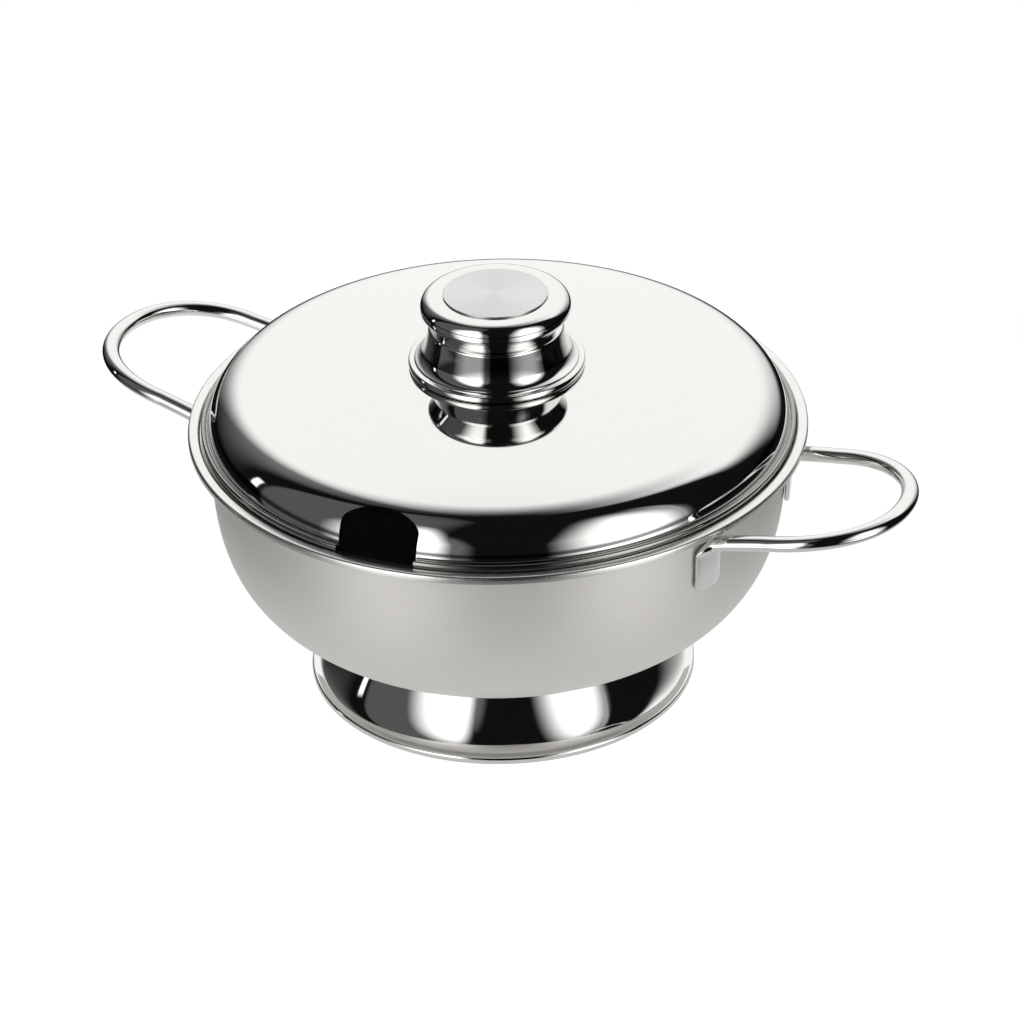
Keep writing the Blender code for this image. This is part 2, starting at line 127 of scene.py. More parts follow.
def wireTree():
    tree, start, end = newTree("bendWire", [
        ("Sides", "NodeSocketInt"), ("Corner Power", "NodeSocketFloat"), ("Material", "NodeSocketMaterial")])
    link = tree.links.new

    def node(kind, **settings):
        made = tree.nodes.new(kind)
        for key, value in settings.items():
            setattr(made, key, value)
        return made

    def attribute(name, kind):
        made = node("GeometryNodeInputNamedAttribute", data_type=kind)
        made.inputs["Name"].default_value = name
        return made.outputs["Attribute"]

    def maths(operation, first, second=None):
        made = node("ShaderNodeMath", operation=operation)
        for socket, value in zip(made.inputs, (first, second)):
            if isinstance(value, (int, float)):
                socket.default_value = value
            elif value is not None:
                link(value, socket)
        return made.outputs[0]

    def scaled(vector, factor):
        made = node("ShaderNodeVectorMath", operation="SCALE")
        link(vector, made.inputs[0])
        link(factor, made.inputs["Scale"])
        return made.outputs[0]

    def added(first, second):
        made = node("ShaderNodeVectorMath", operation="ADD")
        link(first, made.inputs[0])
        link(second, made.inputs[1])
        return made.outputs[0]

    rail = node("GeometryNodeMeshToCurve")
    link(start.outputs["Geometry"], rail.inputs[0])
    circle = node("GeometryNodeCurvePrimitiveCircle")
    circle.inputs["Radius"].default_value = 1
    link(start.outputs["Sides"], circle.inputs["Resolution"])
    place = node("GeometryNodeInputPosition")
    store = node("GeometryNodeStoreNamedAttribute", data_type="FLOAT_VECTOR")
    store.inputs["Name"].default_value = "section"
    link(circle.outputs[0], store.inputs["Geometry"])
    link(place.outputs[0], store.inputs["Value"])
    sweep = node("GeometryNodeCurveToMesh")
    sweep.inputs["Fill Caps"].default_value = True
    link(rail.outputs[0], sweep.inputs["Curve"])
    link(store.outputs[0], sweep.inputs["Profile Curve"])

    split = node("ShaderNodeSeparateXYZ")
    link(attribute("section", "FLOAT_VECTOR"), split.inputs[0])
    wireShare = attribute("wireShare", "FLOAT")
    shares = []
    for axis in (0, 1):  # a circle on the wire, a rounded rectangle on the tab
        across = split.outputs[axis]
        exponent = maths("DIVIDE", 2, start.outputs["Corner Power"])
        square = maths("MULTIPLY", maths("SIGN", across), maths("POWER", maths("ABSOLUTE", across), exponent))
        blend = node("ShaderNodeMix", data_type="FLOAT")
        link(wireShare, blend.inputs["Factor"])
        link(square, blend.inputs[2])
        link(across, blend.inputs[3])
        shares.append(blend.outputs[0])
    width = maths("MULTIPLY", shares[0], attribute("halfWidth", "FLOAT"))
    thickness = maths("MULTIPLY", shares[1], attribute("halfThickness", "FLOAT"))
    side = scaled(attribute("across", "FLOAT_VECTOR"), width)
    lift = scaled(attribute("through", "FLOAT_VECTOR"), thickness)
    move = node("GeometryNodeSetPosition")
    link(sweep.outputs[0], move.inputs["Geometry"])
    link(added(added(side, lift), attribute("centre", "FLOAT_VECTOR")), move.inputs["Position"])
    finishTree(tree, start, move.outputs[0], end)
    return tree


def bakeTree(item, tree, values):
    modifier = item.modifiers.new(tree.name, "NODES")
    modifier.node_group = tree
    for socket in tree.interface.items_tree:
        if socket.in_out == "INPUT" and socket.name in values:
            modifier[socket.identifier] = values[socket.name]
    graph = bpy.context.evaluated_depsgraph_get()
    mesh = bpy.data.meshes.new_from_object(item.evaluated_get(graph))
    item.modifiers.clear()
    old = item.data
    item.data = mesh
    bpy.data.meshes.remove(old)


smoothing = {"weldDistance": 0.0000015, "sharpAngle": 38, "cutSharpAngle": 30}  # angles in degrees


def tidySurface(item):
    bm = bmesh.new()
    bm.from_mesh(item.data)
    bmesh.ops.remove_doubles(bm, verts=bm.verts, dist=smoothing["weldDistance"])
    bmesh.ops.recalc_face_normals(bm, faces=bm.faces)
    bm.to_mesh(item.data)
    bm.free()
    item.data.shade_smooth()
    item.data.set_sharp_from_angle(angle=math.radians(smoothing["sharpAngle"]))
    for name in ("section", "centre", "across", "through", "halfWidth", "halfThickness", "wireShare"):
        if name in item.data.attributes:
            item.data.attributes.remove(item.data.attributes[name])


def newItem(name, mesh):
    item = bpy.data.objects.new(name, mesh)
    bpy.context.scene.collection.objects.link(item)
    return item


lathe = {"sides": 256, "spindle": 0.001}  # the spindle is the small circle that an outline goes round
turnOnLathe = latheTree()
bendWire = wireTree()


def turned(name, outline, material, sides=lathe["sides"], place=None):
    # the outline is closed, and its edges on the axis are left out
    mesh = bpy.data.meshes.new(name)
    points = [(radius - lathe["spindle"], -height, 0) for radius, height in outline]
    edges = []
    for start in range(len(outline)):
        end = (start + 1) % len(outline)
        if outline[start][0] > 0 or outline[end][0] > 0:
            edges.append((start, end))
    mesh.from_pydata(points, edges, [])
    item = newItem(name, mesh)
    bakeTree(item, turnOnLathe, {"Sides": sides, "Spindle": lathe["spindle"], "Material": material})
    if place:
        item.data.transform(place)
    tidySurface(item)
    return item


def cutAway(item, cutter):
    boolean = item.modifiers.new("cut", "BOOLEAN")
    boolean.operation = "DIFFERENCE"
    boolean.solver = "EXACT"
    boolean.object = cutter
    graph = bpy.context.evaluated_depsgraph_get()
    mesh = bpy.data.meshes.new_from_object(item.evaluated_get(graph))
    item.modifiers.clear()
    item.data = mesh
    bpy.data.objects.remove(cutter, do_unlink=True)
    item.data.shade_smooth()
    item.data.set_sharp_from_angle(angle=math.radians(smoothing["cutSharpAngle"]))


# Materials

def newGroup(name, inputs, outputs):
    group = bpy.data.node_groups.new(name, "ShaderNodeTree")
    for label, kind, value in inputs:
        socket = group.interface.new_socket(label, in_out="INPUT", socket_type=kind)
        socket.default_value = value
    for label in outputs:
        group.interface.new_socket(label, in_out="OUTPUT", socket_type="NodeSocketFloat")
    return group, group.nodes.new("NodeGroupInput"), group.nodes.new("NodeGroupOutput")


class Wiring:  # short names for placing and joining the nodes of one tree
    def __init__(self, tree):
        self.tree = tree

    def node(self, kind, inputs=None, **settings):
        made = self.tree.nodes.new(kind)
        for key, value in settings.items():
            setattr(made, key, value)
        for key, value in (inputs or {}).items():
            self.feed(value, made.inputs[key])
        return made

    def feed(self, value, socket):
        if isinstance(value, bpy.types.NodeSocket):
            self.tree.links.new(value, socket)
        else:
            socket.default_value = value

    def maths(self, operation, *values):
        made = self.node("ShaderNodeMath", operation=operation)
        for value, socket in zip(values, made.inputs):
            self.feed(value, socket)
        return made.outputs[0]

    def ramp(self, value, low, high, atLow=0.0, atHigh=1.0):
        return self.node("ShaderNodeMapRange", {
            "Value": value, "From Min": low, "From Max": high, "To Min": atLow, "To Max": atHigh,
        }, interpolation_type="SMOOTHSTEP").outputs[0]

    def turnedPlace(self, place, degrees):  # a place's parts after a turn about the upright axis
        made = self.node("ShaderNodeVectorRotate", {
            "Vector": place, "Rotation": (0, 0, -math.radians(degrees)),
        }, rotation_type="EULER_XYZ")
        return self.node("ShaderNodeSeparateXYZ", {0: made.outputs[0]})


grainNoise = {"broadShare": 0.13, "detail": 3.0, "roughness": 0.6}
handlingNoise = {
    "smudgeDetail": 4.0, "smudgeRoughness": 0.55, "smudgeWarp": 0.6, "smudgeEdge": (0.42, 0.78),
    "rippleDetail": 1.0,
    "scratchTurn": (0.4, 0.2, 0.9), "scratchStretch": (1.0, 26.0, 9.0),
    "scratchScale": 34.0, "scratchDetail": 2.0, "scratchEdge": (0.66, 0.74),
}


def grainGroup():  # fine lines round the upright axis, as a lathe or a turning brush leaves them
    group, start, end = newGroup("turnedGrain", [
        ("Line Scale", "NodeSocketFloat", 2600), ("Arc Scale", "NodeSocketFloat", 2.5),
        ("Height Sign", "NodeSocketFloat", -1)], ["Lines", "Broad Lines"])
    w = Wiring(group)
    place = w.node("ShaderNodeTexCoord").outputs["Object"]
    split = w.node("ShaderNodeSeparateXYZ", {0: place})
    flat = w.node("ShaderNodeCombineXYZ", {0: split.outputs[0], 1: split.outputs[1]})
    radius = w.node("ShaderNodeVectorMath", {0: flat.outputs[0]}, operation="LENGTH").outputs["Value"]
    outward = w.node("ShaderNodeVectorMath", {0: flat.outputs[0]}, operation="NORMALIZE").outputs[0]
    turn = w.node("ShaderNodeSeparateXYZ", {0: outward})
    across = w.maths("MULTIPLY_ADD", split.outputs[2], start.outputs["Height Sign"], radius)
    for label, share in (("Lines", 1.0), ("Broad Lines", grainNoise["broadShare"])):
        line = w.maths("MULTIPLY", w.maths("MULTIPLY", across, start.outputs["Line Scale"]), share)
        spot = w.node("ShaderNodeCombineXYZ", {
            0: w.maths("MULTIPLY", turn.outputs[0], start.outputs["Arc Scale"]),
            1: w.maths("MULTIPLY", turn.outputs[1], start.outputs["Arc Scale"]),
            2: line,
        })
        noise = w.node("ShaderNodeTexNoise", {
            "Vector": spot.outputs[0], "Scale": 1.0,
            "Detail": grainNoise["detail"], "Roughness": grainNoise["roughness"],
        })
        w.feed(noise.outputs["Fac"], end.inputs[label])
    return group


def handlingGroup():  # what hands and use leave on steel
    size = handlingNoise
    group, start, end = newGroup("handling", [
        ("Smudge Scale", "NodeSocketFloat", 38), ("Ripple Scale", "NodeSocketFloat", 26)],
        ["Smudges", "Ripples", "Scratches"])
    w = Wiring(group)
    place = w.node("ShaderNodeTexCoord").outputs["Object"]
    smudges = w.node("ShaderNodeTexNoise", {
        "Vector": place, "Scale": start.outputs["Smudge Scale"], "Detail": size["smudgeDetail"],
        "Roughness": size["smudgeRoughness"], "Distortion": size["smudgeWarp"],
    })
    w.feed(w.ramp(smudges.outputs["Fac"], *size["smudgeEdge"]), end.inputs["Smudges"])
    ripples = w.node("ShaderNodeTexNoise", {
        "Vector": place, "Scale": start.outputs["Ripple Scale"], "Detail": size["rippleDetail"],
    })
    w.feed(ripples.outputs["Fac"], end.inputs["Ripples"])
    stretched = w.node("ShaderNodeMapping", {
        "Vector": place, "Rotation": size["scratchTurn"], "Scale": size["scratchStretch"],
    })
    scratches = w.node("ShaderNodeTexNoise", {
        "Vector": stretched.outputs[0], "Scale": size["scratchScale"], "Detail": size["scratchDetail"],
    })
    w.feed(w.ramp(scratches.outputs["Fac"], *size["scratchEdge"]), end.inputs["Scratches"])
    return group


turnedGrain = grainGroup()
handling = handlingGroup()


def steelMaterial(name, look):
    material = bpy.data.materials.new(name)
    material.use_nodes = True
    w = Wiring(material.node_tree)
    shader = material.node_tree.nodes["Principled BSDF"]
    grain = w.node("ShaderNodeGroup", node_tree=turnedGrain)
    touch = w.node("ShaderNodeGroup", node_tree=handling)
    grain.inputs["Line Scale"].default_value = look["lineScale"]
    grain.inputs["Arc Scale"].default_value = look["arcScale"]
    grain.inputs["Height Sign"].default_value = look["heightSign"]

    def swing(value, amount):  # the value's distance from its middle, times amount
        return w.maths("MULTIPLY", w.maths("SUBTRACT", value, 0.5), amount)

    lines = swing(grain.outputs["Lines"], look["lineRoughness"])
    smudges = w.maths("MULTIPLY", touch.outputs["Smudges"], look["smudgeRoughness"])
    roughness = w.maths("ADD", w.maths("ADD", lines, smudges), look["roughness"])
    w.feed(roughness, shader.inputs["Roughness"])
    shade = w.maths("ADD", swing(grain.outputs["Broad Lines"], look["lineTint"]), 1.0)
    tint = w.node("ShaderNodeVectorMath", {0: look["colour"], "Scale": shade}, operation="SCALE")
    w.feed(tint.outputs[0], shader.inputs["Base Color"])
    shader.inputs["Metallic"].default_value = 1
    if look.get("anisotropic"):
        shader.inputs["Anisotropic"].default_value = look["anisotropic"]
        shader.inputs["Anisotropic Rotation"].default_value = 0.25  # a quarter turn
        tangent = w.node("ShaderNodeTangent", direction_type="RADIAL", axis="Z")
        w.feed(tangent.outputs[0], shader.inputs["Tangent"])
    raised = w.maths("MULTIPLY", grain.outputs["Lines"], look["lineDepth"])
    ripples = w.maths("MULTIPLY", touch.outputs["Ripples"], look["rippleDepth"])
    scratches = w.maths("MULTIPLY", touch.outputs["Scratches"], look["scratchDepth"])
    height = w.maths("SUBTRACT", w.maths("ADD", raised, ripples), scratches)
    bump = w.node("ShaderNodeBump", {"Height": height, "Distance": 1.0, "Strength": 1.0})
    w.feed(bump.outputs[0], shader.inputs["Normal"])
    return material


# Depths are in metres, line scales in lines to the metre; a larger arc scale makes them shorter.
# Height sign -1 suits shapes that spread downwards, 1 those that spread upwards.
mirrorLook = {
    "colour": (0.80, 0.795, 0.785), "roughness": 0.032, "smudgeRoughness": 0.03, "lineRoughness": 0.015,
    "lineTint": 0.02, "lineScale": 2400, "arcScale": 2.0, "heightSign": -1,
    "lineDepth": 0.0, "rippleDepth": 0.00004, "scratchDepth": 0.0,
}
satinLook = {
    "colour": (0.84, 0.825, 0.80), "roughness": 0.58, "smudgeRoughness": 0.03, "lineRoughness": 0.10,
    "lineTint": 0.03, "lineScale": 3000, "arcScale": 3.0, "heightSign": 1, "anisotropic": 0.35,
    "lineDepth": 0.0000015, "rippleDepth": 0.0, "scratchDepth": 0.0,
}
capLook = {
    "colour": (0.72, 0.715, 0.71), "roughness": 0.36, "smudgeRoughness": 0.03, "lineRoughness": 0.08,
    "lineTint": 0.03, "lineScale": 4000, "arcScale": 3.0, "heightSign": 1, "anisotropic": 0.4,
    "lineDepth": 0.0000012, "rippleDepth": 0.0, "scratchDepth": 0.0,
}
plainLook = {
    "colour": (0.58, 0.58, 0.57), "roughness": 0.27, "smudgeRoughness": 0.08, "lineRoughness": 0.10,
    "lineTint": 0.06, "lineScale": 3500, "arcScale": 6.0, "heightSign": 1,
    "lineDepth": 0.000002, "rippleDepth": 0.0, "scratchDepth": 0.000004,
}
rimLook = {
    "colour": (0.82, 0.81, 0.795), "roughness": 0.25, "smudgeRoughness": 0.03, "lineRoughness": 0.06,
    "lineTint": 0.04, "lineScale": 3000, "arcScale": 5.0, "heightSign": 1, "anisotropic": 0.2,
    "lineDepth": 0.0000005, "rippleDepth": 0.00003, "scratchDepth": 0.0,
}
# The bead's dark colour is painted shade: it darkens the reflections along the lid's rolled edge.
beadPaintedShadeLook = {
    "colour": (0.38, 0.375, 0.365), "roughness": 0.13, "smudgeRoughness": 0.05, "lineRoughness": 0.04,
    "lineTint": 0.05, "lineScale": 2400, "arcScale": 2.0, "heightSign": -1,
    "lineDepth": 0.0, "rippleDepth": 0.00004, "scratchDepth": 0.0,
}
polishedSteel = steelMaterial("polishedSteel", mirrorLook)
rimSteel = steelMaterial("rimSteel", rimLook)
beadPaintedShadeSteel = steelMaterial("beadPaintedShadeSteel", beadPaintedShadeLook)
satinSteel = steelMaterial("satinSteel", satinLook)
satinCap = steelMaterial("satinCap", capLook)
plainSteel = steelMaterial("plainSteel", plainLook)
print("materials made")


# Bowl

bowlSizes = {
    "rimEdgeHeight": 0.0028,
    "rimFlangeWidth": 0.0047,
    "rimBend": 0.00075,
    "seatDepth": 0.0016,
    "seatLedgeWidth": 0.0048,
    "seatBend": 0.0006,
    "straightWall": 0.0015,
    "curveDepth": 0.0877,
    "curvePower": 3.39,
    "curveSteps": 96,
    "rimFinishShare": 0.6,  # of the sheet: how far inside the bowl's side the rim's finish starts
}
seatRadius = rimRadius - bowlSizes["rimFlangeWidth"]
seatHeight = rimHeight - bowlSizes["seatDepth"]
bowlRadius = seatRadius - bowlSizes["seatLedgeWidth"] + sheet
curveTop = seatHeight - bowlSizes["straightWall"]


def bowlOuterRadius(height):
    share = max(0, curveTop - height) / bowlSizes["curveDepth"]
    return bowlRadius * (1 - share ** bowlSizes["curvePower"]) ** (1 / bowlSizes["curvePower"])


def bowlUnderside(radius):
    share = (1 - (radius / bowlRadius) ** bowlSizes["curvePower"]) ** (1 / bowlSizes["curvePower"])
    return curveTop - bowlSizes["curveDepth"] * share


def makeBowl():
    size = bowlSizes
    half = sheet / 2
    middle = roundedPath([
        (rimRadius - half, rimHeight - size["rimEdgeHeight"], 0),
        (rimRadius - half, rimHeight - half, size["rimBend"]),
        (seatRadius + half, rimHeight - half, size["rimBend"]),
        (seatRadius + half, seatHeight - half, size["rimBend"]),
        (bowlRadius - half, seatHeight - half, size["seatBend"]),
        (bowlRadius - half, curveTop, 0),
    ])
    for step in range(1, size["curveSteps"]):
        angle = math.pi / 2 * step / size["curveSteps"]
        middle.append((
            (bowlRadius - half) * math.cos(angle) ** (2 / size["curvePower"]),
            curveTop - (size["curveDepth"] - half) * math.sin(angle) ** (2 / size["curvePower"]),
        ))
    middle.append((0, curveTop - size["curveDepth"] + half))
    inside = offsetPath(middle, half)
    outside = offsetPath(middle, -half)
    inside[-1] = (0, inside[-1][1])
    outside[-1] = (0, outside[-1][1])
    bowl = turned("bowlShell", inside + outside[::-1], satinSteel)
    bowl.data.materials.append(rimSteel)
    rimFrom = bowlRadius - sheet * size["rimFinishShare"]
    for face in bowl.data.polygons:  # the rim and the seat are finer brushed than the bowl
        if math.hypot(*face.center[:2]) > rimFrom and face.center.z > curveTop:
            face.material_index = 1
    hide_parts("bowl")
    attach(bowl, "tureen")


# Foot

footSizes = {
    "lipWidth": 0.0034,
    "lipHeight": 0.0034,
    "lipRound": 0.0014,
    "neckRadius": 0.0595,
    "weldFlange": 0.0070,
    "weldSteps": 8,
    "flarePower": 0.73,
    "flareSteps": 60,
    "stepPower": 1.5,  # above 1 the steps are finer towards the lip
}


def makeFoot():
    size = footSizes
    lipRadius = footHigh.x
    wallRadius = lipRadius - size["lipWidth"]
    outside = []
    for step in range(size["weldSteps"] + 1):
        radius = size["neckRadius"] - size["weldFlange"] * (1 - step / size["weldSteps"])
        outside.append((radius, bowlUnderside(radius) - gap))
    neckHeight = outside[-1][1]
    for step in range(1, size["flareSteps"] + 1):
        share = (1 - step / size["flareSteps"]) ** size["stepPower"]
        outside.append((
            wallRadius - (wallRadius - size["neckRadius"]) * share ** size["flarePower"],
            size["lipHeight"] + (neckHeight - size["lipHeight"]) * share,
        ))
    inside = offsetPath(outside, sheet)
    lip = roundedPath([
        (wallRadius, size["lipHeight"], 0),
        (lipRadius, size["lipHeight"], size["lipRound"]),
        (lipRadius, 0, size["lipRound"]),
        (wallRadius - sheet, 0, 0),
    ])
    foot = turned("footRing", outside[:-1] + lip + inside[::-1], polishedSteel)
    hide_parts("foot")
    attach(foot, "tureen")


# Handles

handleSizes = {
    "wireWidth": 0.0071,
    "wireThickness": 0.0061,
    "rootSpacing": 0.0792,
    "loopSpacing": 0.0758,
    "loopLength": 0.0418,
    "loopPower": 2.09,
    "drop": 0.0101,
    "rise": 0.0111,
    "archShare": 1.45,
    "tabWidth": 0.0134,
    "tabThickness": 0.0024,
    "tabLength": 0.0160,
    "tabEndRound": 0.0026,
    "tabBend": 0.0048,
    "cornerPower": 3.2,  # 2 makes the tab's section an ellipse, more makes it squarer
    "sides": 40,
    "steps": {"end": 8, "tab": 10, "bend": 24, "leg": 16, "loop": 48},
}


def handleStations():  # half a handle: places along it, how much it is wire, and half its width
    size = handleSizes
    rootHeight = rimHeight - size["drop"]
    standOff = gap + size["tabThickness"] / 2
    rootRadius = bowlOuterRadius(rootHeight) + standOff
    bearing = math.asin(size["rootSpacing"] / 2 / rootRadius)
    rootX = rootRadius * math.cos(bearing)
    tipX = handleHigh.x - size["wireWidth"] / 2
    loopX = tipX - size["loopLength"]

    def heightAt(x):
        share = (x - rootX) / (tipX - rootX)
        return rootHeight + size["rise"] * share * (size["archShare"] + (1 - size["archShare"]) * share)

    def offsetAt(x):
        share = (loopX - x) / (loopX - rootX)
        return (size["loopSpacing"] + (size["rootSpacing"] - size["loopSpacing"]) * share) / 2

    slope = math.atan2(size["rise"] * size["archShare"], tipX - rootX)
    bendAngle = math.pi / 2 - slope
    legX = rootX + size["tabBend"] * (1 - math.cos(bendAngle))
    bendBottom = heightAt(legX) - size["tabBend"] * math.sin(bendAngle)
    tabBottom = bendBottom - size["tabLength"]
    outward = Vector((math.cos(bearing), math.sin(bearing), 0))
    alongWall = Vector((-math.sin(bearing), math.cos(bearing), 0))
    stations = []
    endSteps, tabSteps, bendSteps, legSteps, loopSteps = size["steps"].values()
    for step in range(endSteps + tabSteps):
        cornerAngle = math.pi / 2 * min(1, step / endSteps)
        height = tabBottom + size["tabEndRound"] * (1 - math.cos(cornerAngle))
        if step > endSteps:
            height += (bendBottom - height) * (step - endSteps) / tabSteps
        centre = outward * (bowlOuterRadius(height) + standOff)
        centre.z = height
        stations.append([centre, 0, size["tabWidth"] / 2 - size["tabEndRound"] * (1 - math.sin(cornerAngle))])
    for step in range(bendSteps + 1):
        share = step / bendSteps
        angle = bendAngle * share
        x = rootX + size["tabBend"] * (1 - math.cos(angle))
        z = bendBottom + size["tabBend"] * math.sin(angle)
        wire = share * share * (3 - 2 * share)
        width = size["tabWidth"] + (size["wireWidth"] - size["tabWidth"]) * wire
        stations.append([Vector((x, offsetAt(x), z)), wire, width / 2])
    for step in range(1, legSteps + 1):
        x = legX + (loopX - legX) * step / legSteps
        stations.append([Vector((x, offsetAt(x), heightAt(x))), 1, size["wireWidth"] / 2])
    for step in range(1, loopSteps + 1):
        angle = math.pi / 2 * step / loopSteps
        x = loopX + size["loopLength"] * math.sin(angle) ** (2 / size["loopPower"])
        y = size["loopSpacing"] / 2 * max(0, math.cos(angle)) ** (2 / size["loopPower"])
        if step == loopSteps:
            y = 0
        stations.append([Vector((x, y, heightAt(x))), 1, size["wireWidth"] / 2])
    return stations, alongWall


def makeHandle(name, node, turn):
    size = handleSizes
    stations, alongWall = handleStations()
    centres = [station[0] for station in stations]
    mirror = Vector((1, -1, 1))
    ahead = centres[1:] + [centres[-2] * mirror]
    behind = centres[:1] + centres[:-1]
    rows = []
    for (centre, wire, halfWidth), before, after in zip(stations, behind, ahead):
        heading = (after - before).normalized()
        across = alongWall.copy()
        if wire > 0:
            across = alongWall.lerp(Vector((-heading.y, heading.x, 0)).normalized(), wire)
        through = heading.cross(across).normalized()
        across = through.cross(heading).normalized()
        halfThickness = (size["tabThickness"] + (size["wireThickness"] - size["tabThickness"]) * wire) / 2
        rows.append((centre, across, through, halfWidth, halfThickness, wire))
    rows += [(c * mirror, a * mirror, t * mirror, w, h, s) for c, a, t, w, h, s in rows[-2::-1]]
    mesh = bpy.data.meshes.new(name)
    mesh.from_pydata([row[0] for row in rows], [(i, i + 1) for i in range(len(rows) - 1)], [])
    for label, column in (("centre", 0), ("across", 1), ("through", 2)):
        values = mesh.attributes.new(label, "FLOAT_VECTOR", "POINT").data
        values.foreach_set("vector", [part for row in rows for part in row[column]])
    for label, column in (("halfWidth", 3), ("halfThickness", 4), ("wireShare", 5)):
        values = mesh.attributes.new(label, "FLOAT", "POINT").data
        values.foreach_set("value", [row[column] for row in rows])
    item = newItem(name, mesh)
    bakeTree(item, bendWire, {
        "Sides": size["sides"], "Corner Power": size["cornerPower"], "Material": polishedSteel,
    })
    item.data.transform(Matrix.Rotation(turn, 4, "Z"))
    tidySurface(item)
    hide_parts(node)
    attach(item, "tureen")


# Lid: heights from the rim

lidSizes = {
    "turn": math.radians(3.6),
    "seatPlay": 0.0005,
    "restShare": 0.4,  # of the play: how far off the middle of its seat the lid lies
    "restBearing": math.radians(27.8),
    "height": 0.0265,
    "domeRise": 0.01109,
    "shoulderRadius": 0.0185,
    "draft": math.radians(6.5),
    "lipWidth": 0.00274,
    "beadWidth": 0.0020,
    "beadTop": 0.0022,
    "beadRound": 0.00095,
    "beadDarkFrom": 0.00002,  # past the wall's foot; from here the bead gets its painted shade
    "grooveBottom": 0.0008,
    "grooveRound": 0.0004,
    "holeRadius": 0.0030,
    "domeSteps": 90,
    "shoulderSteps": 48,
}
notchSizes = {
    "width": 0.0332, "height": 0.0167, "crown": 0.0062, "crownPower": 2.0,
    "depth": 0.0250, "overcut": 0.004, "steps": 64,
}
lipBottom = gap - bowlSizes["seatDepth"]
lipRadius = seatRadius - lidSizes["seatPlay"]
lidFootRadius = lipRadius - lidSizes["lipWidth"]
domeRadius = (lipRadius ** 2 + lidSizes["domeRise"] ** 2) / (2 * lidSizes["domeRise"])
domeCentre = lidSizes["height"] - domeRadius
restShift = lidSizes["seatPlay"] * lidSizes["restShare"]
lidPlace = Matrix.Translation((
    restShift * math.cos(lidSizes["restBearing"]),
    restShift * math.sin(lidSizes["restBearing"]),
    rimHeight,
)) @ Matrix.Rotation(lidSizes["turn"], 4, "Z")


def domeHeight(radius):
    return domeCentre + math.sqrt(domeRadius ** 2 - radius ** 2)


def lidSurface(inset):
    size = lidSizes
    draft = math.tan(size["draft"])
    wallAtZero = lidFootRadius - size["shoulderRadius"] / math.cos(size["draft"])
    reach = domeRadius - size["shoulderRadius"]
    # the shoulder's arc touches both the wall and the dome, which gives its centre's height
    a = 1 + draft ** 2
    b = -2 * (wallAtZero * draft + domeCentre)
    c = wallAtZero ** 2 + domeCentre ** 2 - reach ** 2
    centreHeight = (math.sqrt(b ** 2 - 4 * a * c) - b) / (2 * a)
    centreRadius = wallAtZero - centreHeight * draft
    startAngle = math.atan2(centreHeight - domeCentre, centreRadius)
    dome = domeRadius - inset
    edge = dome * math.cos(startAngle)
    path = []
    for step in range(size["domeSteps"]):
        radius = size["holeRadius"] + (edge - size["holeRadius"]) * step / size["domeSteps"]
        path.append((radius, domeCentre + math.sqrt(dome ** 2 - radius ** 2)))
    shoulder = size["shoulderRadius"] - inset
    for step in range(size["shoulderSteps"] + 1):
        angle = startAngle + (size["draft"] - startAngle) * step / size["shoulderSteps"]
        path.append((centreRadius + shoulder * math.cos(angle), centreHeight + shoulder * math.sin(angle)))
    return path


def notchCutter():
    size = notchSizes
    half = size["width"] / 2
    bottom = lipBottom - size["overcut"]
    outline = [(half, bottom)]
    for step in range(size["steps"] + 1):
        angle = math.pi * step / size["steps"]
        out = math.copysign(abs(math.cos(angle)) ** (2 / size["crownPower"]), math.cos(angle))
        up = max(0, math.sin(angle)) ** (2 / size["crownPower"])
        outline.append((half * out, size["height"] - size["crown"] * (1 - up)))
    outline.append((-half, bottom))
    bm = bmesh.new()
    near = [bm.verts.new((x, size["depth"] - lipRadius, z)) for x, z in outline]
    far = [bm.verts.new((x, -lipRadius - size["overcut"], z)) for x, z in outline]
    bm.faces.new(near)
    bm.faces.new(far)
    bmesh.ops.bridge_loops(bm, edges=[edge for edge in bm.edges if len(edge.link_faces) == 1])
    bmesh.ops.recalc_face_normals(bm, faces=bm.faces)
    mesh = bpy.data.meshes.new("notch")
    bm.to_mesh(mesh)
    bm.free()
    mesh.transform(lidPlace)
    return newItem("notch", mesh)


def makeLid():
    outer = lidSurface(0)
    inner = lidSurface(sheet)
    size = lidSizes
    wallInside = inner[-1][0] + (inner[-1][1] - lipBottom) * math.tan(size["draft"])
    beadInside = lipRadius - size["beadWidth"]
    grooveOutside = lidFootRadius - size["grooveBottom"] * math.tan(size["draft"])
    lip = roundedPath([
        (*outer[-1], 0),
        (grooveOutside, size["grooveBottom"], size["grooveRound"]),
        (beadInside, size["grooveBottom"], size["grooveRound"]),
        (beadInside, size["beadTop"], size["beadRound"]),
        (lipRadius, size["beadTop"], size["beadRound"]),
        (lipRadius, lipBottom, size["grooveRound"]),
        (wallInside, lipBottom, 0),
    ])
    lid = turned("lidShell", outer[:-1] + lip + inner[::-1], polishedSteel, place=lidPlace)
    lid.data.materials.append(beadPaintedShadeSteel)
    centre = lidPlace.translation
    beadFrom = lidFootRadius + size["beadDarkFrom"]
    for face in lid.data.polygons:  # the rolled edge is less polished than the dome, and its darker colour is painted shade that dims the reflections along the lid's edge
        if math.hypot(face.center.x - centre.x, face.center.y - centre.y) > beadFrom:
            face.material_index = 1
    cutAway(lid, notchCutter())
    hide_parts("lid")
    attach(lid, "lid_and_knob")


# Knob: heights from the crown of the lid

